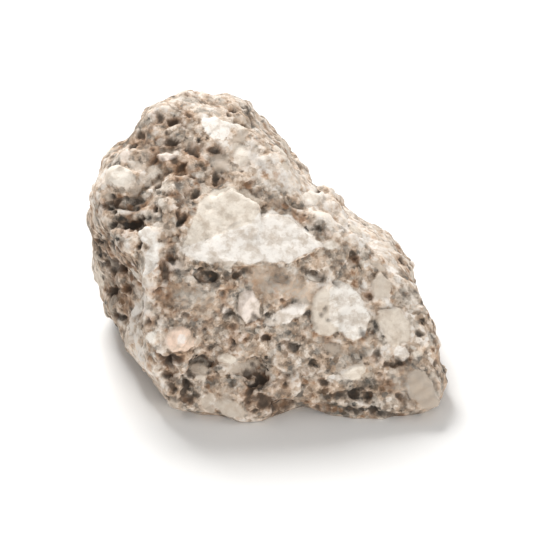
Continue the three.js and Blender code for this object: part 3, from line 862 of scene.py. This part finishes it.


# Crystal-rich volcanic rock, broken and weathered: a dull beige-grey paste of fine grains that runs
# from brown where painted shade darkens its hollows to cream on its worn edges, pale feldspar with a faint
# gleam on its flat breaks, small dark minerals, and pits darkened inside by painted shade, with rusty rims.
rock = {
    "greyPaste": [
        (0.02, "3c3935"),
        (0.2, "5e5a53"),
        (0.38, "867e74"),
        (0.52, "a49a8e"),
        (0.66, "c0b5a8"),
        (0.82, "dad0c5"),
        (0.98, "e7e0d8"),
    ],
    "warmPaste": [
        (0.02, "43382c"),
        (0.2, "675747"),
        (0.38, "907b67"),
        (0.52, "b09882"),
        (0.66, "cab39d"),
        (0.82, "e2cfbc"),
        (0.98, "eee1d2"),
    ],
    "crystal": [
        (0.01, "ad9f90"),
        (0.3, "d0c3b3"),
        (0.5, "ede2d2"),
        (0.7, "fcf7ef"),
        (0.84, "f5e7dc"),
        (0.99, "f3d0b6"),
    ],
    "crystalCloud": "bcab98",
    "rust": "ad825f",
    # painted shade inside pits and crevices
    "pit": "4a4037",
    "crookedSize": 0.3,  # mm, size of the noise that makes the grains' outlines uneven
    "crooked": 0.5,  # mm from one end of its shifts to the other
    "cloudSize": 1.3,  # mm, soft patches of the paste
    "tintSize": 1.7,  # mm, its greyer and warmer patches
    "tintByGrain": 0.35,  # how much single grains differ in that
    "grainSize": 0.42,  # mm, its salt-and-pepper grain
    "grainBlur": 0.4,
    "saltSize": 0.2,  # mm
    "paleGrainSize": 0.8,  # mm between small pale grains
    "mineralSize": 0.95,  # mm between dark minerals
    "mineralShift": (0.017, 0.023, 0.031),  # m, so that they lie apart from the pale grains
    "mineralInDark": 0.1,  # how much larger they are in the dark areas
    "busyInPale": -0.5,  # how much rarer both are in the pale areas
    "plainTone": (0.5, 0.38),  # in the plain areas: share of the soft patches, and what is added
    "rustSize": 2.4,  # mm, patches where the rock has rusted
    "rustInAreas": 0.35,
    "rustMost": 0.46,
    "crystalCloudSize": 1.1,  # mm
    "cleavageSize": 0.5,  # mm between the faint lines in a crystal
    "cleavageStretch": (0.25, 0.6, 1),
    "edgeSalt": 0.5,  # how far the salt and the clouds break up a crystal's edge
    "edgeCloud": 0.9,
    "streakSize": 0.8,  # mm across a streak of the paste
    "streakLonger": 4,  # times as long as it is wide
    "streakWay": (0.61, -0.42, -0.67),  # down to the right, as the long slope runs
    "pasteRoughness": 0.93,
    "crystalRoughness": 0.55,
    "grainRelief": 0.05,  # mm
    "reliefByGrain": 0.8,  # share of it that differs from grain to grain
    "ior": 1.54,
}
# The paste's tone, from 0 dark to 1 pale, is that of the soft patches, less a little, and these shares.
toneLess = -0.62
# The dark areas' share lowers the tone, partly as painted shade.
toneShares = {"grain": 0.36, "salt": 0.22, "streak": 0.7, "pale": 0.4, "dark": -0.26}
# Each range runs from the number under 1 to that under 2, and gives those under 3 and 4, or 0 and 1.
ranges = {
    "paleGrainReach": {1: 0.35, 2: 1, 3: 0, 4: 0.42},
    "paleGrain": {1: -0.04, 2: 0.1, 3: 0, 4: 0.26},
    "mineralReach": {1: 0.3, 2: 1, 3: 0, 4: 0.36},
    "mineral": {1: -0.04, 2: 0.12, 3: 0, 4: 0.42},
    # Painted shade: the tone falls in the hollows.
    "sunken": {1: 0, 2: 0.3, 3: 0, 4: -0.34},
    "worn": {1: -0.01, 2: -0.07, 3: 0, 4: 0.14},
    "ridge": {1: -0.04, 2: -0.3, 3: 0, 4: 0.2},
    "tint": {1: 0.47, 2: 0.87},
    "rusted": {1: 0.45, 2: 0.62},
    "pitRim": {1: 0.5, 2: 0.05},
    "mineralRim": {1: -0.22, 2: -0.02},
    "clouded": {1: 0.44, 2: 0.63, 3: 0, 4: 0.72},
    "cleaved": {1: 0.54, 2: 0.66, 3: 0, 4: 0.4},
    "inCrystal": {1: 0.95, 2: 1.5, 3: 0, 4: 0.9},
    # painted shade inside pits and crevices
    "holeShade": {1: 0.05, 2: -0.25, 3: 0, 4: 0.8},
    "shadeInCrevice": {1: 0.1, 2: 1, 3: 0, 4: 0.7},
    "gloss": {1: 0, 2: 0.9, 3: rock["pasteRoughness"], 4: rock["crystalRoughness"]},
    "relief": {1: 0, 2: 1, 3: 1, 4: 0.35},
}


def addPatterns(tree, given):
    # Adds to what is given the patterns that several parts of the material read.
    place = given["place"]
    settings = {"Scale": 1 / (rock["crookedSize"] * mm), "Detail": 2}
    bend = addNode(tree, "TexNoise", settings, {"Vector": place})
    across = rock["crooked"] * mm
    settings = {"operation": "MULTIPLY_ADD", 1: (across,) * 3, 2: (-across / 2,) * 3}
    bend = addNode(tree, "VectorMath", settings, {0: bend.outputs["Color"]})
    crooked = addNode(tree, "VectorMath", {"operation": "ADD"}, {0: place, 1: bend})
    settings = {"Scale": 1 / (rock["cloudSize"] * mm), "Detail": 4, "Roughness": 0.62}
    cloud = addNode(tree, "TexNoise", settings, {"Vector": place})
    settings = {"Scale": 1 / (rock["saltSize"] * mm), "Detail": 1}
    salt = addNode(tree, "TexNoise", settings, {"Vector": place})
    settings = {
        "feature": "SMOOTH_F1",
        "Smoothness": rock["grainBlur"],
        "Scale": 1 / (rock["grainSize"] * mm),
    }
    grain = addNode(tree, "TexVoronoi", settings, {"Vector": crooked})
    grain = addNode(tree, "SeparateColor", {}, {0: grain.outputs["Color"]})
    settings = {"Scale": 1 / (rock["crystalCloudSize"] * mm), "Detail": 4, "Roughness": 0.6}
    haze = addNode(tree, "TexNoise", settings, {"Vector": crooked})

    # How far inside a dark mineral a place lies
    shifted = addNode(tree, "VectorMath", {"operation": "ADD", 1: rock["mineralShift"]}, {0: crooked})
    settings = {"Scale": 1 / (rock["mineralSize"] * mm)}
    mineral = addNode(tree, "TexVoronoi", settings, {"Vector": shifted})
    dice = addNode(tree, "SeparateColor", {}, {0: mineral.outputs["Color"]})
    reach = addNode(tree, "MapRange", ranges["mineralReach"], {0: dice.outputs[0]})
    settings = {"operation": "MULTIPLY_ADD", 1: rock["mineralInDark"]}
    reach = addNode(tree, "Math", settings, {0: given["dark"], 2: reach})
    inside = addNode(tree, "Math", {"operation": "SUBTRACT"}, {0: reach, 1: mineral.outputs["Distance"]})
    given.update(crooked=crooked, cloud=cloud, salt=salt, haze=haze, mineral=inside)
    given.update(grain=grain.outputs[0], grainDice=grain.outputs[1])


def pasteTone(tree, given):
    turn = Vector((1, 0, 0)).rotation_difference(Vector(rock["streakWay"])).to_euler()
    settings = {"vector_type": "TEXTURE", "Rotation": turn, "Scale": (rock["streakLonger"], 1, 1)}
    flow = addNode(tree, "Mapping", settings, {"Vector": given["crooked"]})
    settings = {"Scale": 1 / (rock["streakSize"] * mm), "Detail": 3}
    sources = {**given, "streak": addNode(tree, "TexNoise", settings, {"Vector": flow})}
    tone = addNode(tree, "Math", {"operation": "ADD", 1: toneLess}, {0: given["cloud"]})
    for name, share in toneShares.items():
        settings = {"operation": "MULTIPLY_ADD", 1: share}
        tone = addNode(tree, "Math", settings, {0: sources[name], 2: tone})

    # Small pale grains and dark minerals, both kept out of the plain areas
    settings = {"operation": "MULTIPLY_ADD", 1: rock["busyInPale"], 2: 1}
    busy = addNode(tree, "Math", settings, {0: given["pale"]})
    busy = addNode(tree, "Math", {"operation": "SUBTRACT", "use_clamp": True}, {0: busy, 1: given["plain"]})
    settings = {"Scale": 1 / (rock["paleGrainSize"] * mm)}
    grain = addNode(tree, "TexVoronoi", settings, {"Vector": given["crooked"]})
    dice = addNode(tree, "SeparateColor", {}, {0: grain.outputs["Color"]})
    reach = addNode(tree, "MapRange", ranges["paleGrainReach"], {0: dice.outputs[0]})
    lighter = addNode(tree, "Math", {"operation": "SUBTRACT"}, {0: reach, 1: grain.outputs["Distance"]})
    lighter = addNode(tree, "MapRange", ranges["paleGrain"], {0: lighter})
    tone = addNode(tree, "Math", {"operation": "MULTIPLY_ADD"}, {0: lighter, 1: busy, 2: tone})
    darker = addNode(tree, "MapRange", ranges["mineral"], {0: given["mineral"]})
    darker = addNode(tree, "Math", {"operation": "MULTIPLY"}, {0: darker, 1: busy})
    tone = addNode(tree, "Math", {"operation": "SUBTRACT"}, {0: tone, 1: darker})

    # Hollows are darker, as painted shade, and worn rises and ridges paler. Plain areas have a tone of
    # their own.
    for name, source in (("sunken", "hollow"), ("worn", "fineHollow"), ("ridge", "hollow")):
        change = addNode(tree, "MapRange", ranges[name], {0: given[source]})
        tone = addNode(tree, "Math", {"operation": "ADD"}, {0: tone, 1: change})
    share, more = rock["plainTone"]
    settings = {"operation": "MULTIPLY_ADD", 1: share, 2: more}
    plainTone = addNode(tree, "Math", settings, {0: given["cloud"]})
    links = {0: given["plain"], 2: tone, 3: plainTone}
    return addNode(tree, "Mix", {"data_type": "FLOAT"}, links)


def pasteColour(tree, given):
    tone = pasteTone(tree, given)
    settings = {"Scale": 1 / (rock["tintSize"] * mm), "Detail": 2}
    tint = addNode(tree, "TexNoise", settings, {"Vector": given["place"]})
    settings = {"operation": "MULTIPLY_ADD", 1: rock["tintByGrain"]}
    tint = addNode(tree, "Math", settings, {0: given["grainDice"], 2: tint})
    tint = addNode(tree, "MapRange", ranges["tint"], {0: tint})
    grey = addNode(tree, "ValToRGB", {"stops": rock["greyPaste"]}, {0: tone})
    warm = addNode(tree, "ValToRGB", {"stops": rock["warmPaste"]}, {0: tone})
    paste = addNode(tree, "Mix", {"data_type": "RGBA"}, {0: tint, 6: grey, 7: warm}).outputs[2]

    # Rust stains lie in patches round pits and dark minerals.
    settings = {"Scale": 1 / (rock["rustSize"] * mm), "Detail": 2}
    patch = addNode(tree, "TexNoise", settings, {"Vector": given["place"]})
    patch = addNode(tree, "MapRange", ranges["rusted"], {0: patch})
    patch = addNode(tree, "Math", {"operation": "MAXIMUM"}, {0: patch, 1: given["rust"]})
    pitRim = addNode(tree, "MapRange", ranges["pitRim"], {0: given["pitDistance"]})
    mineralRim = addNode(tree, "MapRange", ranges["mineralRim"], {0: given["mineral"]})
    stained = addNode(tree, "Math", {"operation": "MAXIMUM"}, {0: pitRim, 1: mineralRim})
    stained = addNode(tree, "Math", {"operation": "MULTIPLY"}, {0: stained, 1: patch})
    settings = {"operation": "MULTIPLY_ADD", 1: rock["rustInAreas"]}
    stained = addNode(tree, "Math", settings, {0: given["rust"], 2: stained})
    settings = {"operation": "MULTIPLY", 1: rock["rustMost"]}
    stained = addNode(tree, "Math", settings, {0: stained})
    settings = {"data_type": "RGBA", 7: hexColour(rock["rust"])}
    return addNode(tree, "Mix", settings, {0: stained, 6: paste}).outputs[2]


def crystalColour(tree, given):
    # Runs by tone from grey through cream and white to peach, and is clouded and faintly lined.
    crystal = addNode(tree, "ValToRGB", {"stops": rock["crystal"]}, {0: given["crystalTone"]})
    clouded = addNode(tree, "MapRange", ranges["clouded"], {0: given["haze"]})
    towardsCloud = {"data_type": "RGBA", 7: hexColour(rock["crystalCloud"])}
    crystal = addNode(tree, "Mix", towardsCloud, {0: clouded, 6: crystal}).outputs[2]
    settings = {"operation": "MULTIPLY", 1: rock["cleavageStretch"]}
    stretched = addNode(tree, "VectorMath", settings, {0: given["crooked"]})
    settings = {"Scale": 1 / (rock["cleavageSize"] * mm), "Detail": 2}
    lines = addNode(tree, "TexNoise", settings, {"Vector": stretched})
    cleaved = addNode(tree, "MapRange", ranges["cleaved"], {0: lines})
    return addNode(tree, "Mix", towardsCloud, {0: cleaved, 6: crystal}).outputs[2]


def crystalOrPaste(tree, given):
    # How far a place counts as crystal. The edge is broken up by the salt and the clouds.
    settings = {"operation": "MULTIPLY_ADD", 1: rock["edgeSalt"]}
    edge = addNode(tree, "Math", settings, {0: given["salt"], 2: given["crystalShare"]})
    settings = {"operation": "MULTIPLY_ADD", 1: rock["edgeCloud"]}
    edge = addNode(tree, "Math", settings, {0: given["haze"], 2: edge})
    return addNode(tree, "MapRange", ranges["inCrystal"], {0: edge})


def grainBump(tree, given, inCrystal):
    settings = {"operation": "MULTIPLY_ADD", 1: rock["reliefByGrain"]}
    relief = addNode(tree, "Math", settings, {0: given["grainDice"], 2: given["salt"]})
    strength = addNode(tree, "MapRange", ranges["relief"], {0: inCrystal})
    relief = addNode(tree, "Math", {"operation": "MULTIPLY"}, {0: relief, 1: strength})
    return addNode(tree, "Bump", {"Distance": rock["grainRelief"] * mm}, {"Height": relief})


def volcanicRock():
    material = bpy.data.materials.new("volcanicRockBroken")
    material.use_nodes = True
    tree = material.node_tree
    tree.nodes.clear()
    given = {"place": addNode(tree, "TexCoord").outputs["Object"]}
    for name in numbers:
        given[name] = addNode(tree, "Attribute", {"attribute_name": name}).outputs["Fac"]
    addPatterns(tree, given)
    inCrystal = crystalOrPaste(tree, given)
    links = {0: inCrystal, 6: pasteColour(tree, given), 7: crystalColour(tree, given)}
    colour = addNode(tree, "Mix", {"data_type": "RGBA"}, links).outputs[2]

    # Pits and crevices are darkened inside with painted shade, the deeper crevices the darker.
    holeShade = addNode(tree, "MapRange", ranges["holeShade"], {0: given["pitDistance"]})
    shadeInCrevice = addNode(tree, "MapRange", ranges["shadeInCrevice"], {0: given["crevice"]})
    holeShade = addNode(tree, "Math", {"operation": "MAXIMUM"}, {0: holeShade, 1: shadeInCrevice})
    settings = {"data_type": "RGBA", 7: hexColour(rock["pit"])}
    colour = addNode(tree, "Mix", settings, {0: holeShade, 6: colour}).outputs[2]
    links = {
        "Base Color": colour,
        "Roughness": addNode(tree, "MapRange", ranges["gloss"], {0: inCrystal}),
        "Normal": grainBump(tree, given, inCrystal),
    }
    shader = addNode(tree, "BsdfPrincipled", {"IOR": rock["ior"]}, links)
    addNode(tree, "OutputMaterial", {}, {"Surface": shader})
    return material


# Matt white laminate table: pale and even, with no gleam of its own.
table = {"colour": "f4f3f1", "roughness": 0.8, "size": 1.2}


def whiteLaminate():
    material = bpy.data.materials.new("whiteLaminateMatt")
    material.use_nodes = True
    shader = material.node_tree.nodes["Principled BSDF"]
    shader.inputs["Base Color"].default_value = hexColour(table["colour"])
    shader.inputs["Roughness"].default_value = table["roughness"]
    return material


stone.data.materials.clear()
stone.data.materials.append(volcanicRock())
stone.data.shade_smooth()
print("materials done")

# Table, lights and camera


def addTable():
    bm = bmesh.new()
    bmesh.ops.create_grid(bm, x_segments=1, y_segments=1, size=table["size"])
    tableMesh = bpy.data.meshes.new("table")
    bm.to_mesh(tableMesh)
    bm.free()
    piece = bpy.data.objects.new("table", tableMesh)
    bpy.context.scene.collection.objects.link(piece)
    piece.data.materials.append(whiteLaminate())


# A soft key from behind throws the stone's shadow forward, and a low fill keeps its front bright.
lights = {
    "world": 0.52,
    "aim": (0, 0, 0.012),
    "lamps": [
        {"name": "keyBehind", "at": (-0.13, 0.295, 0.385), "size": 0.17, "watts": 2.5},
        {"name": "fillFront", "at": (0.28, -0.5, 0.15), "size": 0.3, "watts": 1.45},
    ],
}


def lookAt(thing, target):
    thing.rotation_euler = (Vector(target) - thing.location).to_track_quat("-Z", "Y").to_euler()


def addLights():
    for lamp in lights["lamps"]:
        light = bpy.data.lights.new(lamp["name"], "AREA")
        light.size = lamp["size"]
        light.energy = lamp["watts"]
        holder = bpy.data.objects.new(lamp["name"], light)
        holder.location = lamp["at"]
        holder.visible_camera = False
        bpy.context.scene.collection.objects.link(holder)
        lookAt(holder, lights["aim"])
    world = bpy.data.worlds.new("whiteRoom")
    world.use_nodes = True
    world.node_tree.nodes["Background"].inputs["Color"].default_value = (1, 1, 1, 1)
    world.node_tree.nodes["Background"].inputs["Strength"].default_value = lights["world"]
    bpy.context.scene.world = world


camera = {
    "distance": 470,  # mm
    "aim": (0, 15.6),  # across and up, in the line of sight's own measures
    "frameWidth": 52,  # mm seen across at the stone
    "sensor": 36,  # mm
    "near": 0.01,  # m
}


def addCamera():
    data = bpy.data.cameras.new("camera")
    data.sensor_width = camera["sensor"]
    data.lens = camera["sensor"] * camera["distance"] / camera["frameWidth"]
    data.clip_start = camera["near"]
    holder = bpy.data.objects.new("camera", data)
    holder.location = sightPoint(*camera["aim"], camera["distance"]) * mm
    bpy.context.scene.collection.objects.link(holder)
    lookAt(holder, sightPoint(*camera["aim"]) * mm)
    bpy.context.scene.camera = holder


addTable()
addLights()
addCamera()
bpy.context.scene.view_settings.view_transform = "Standard"
print("stage done")
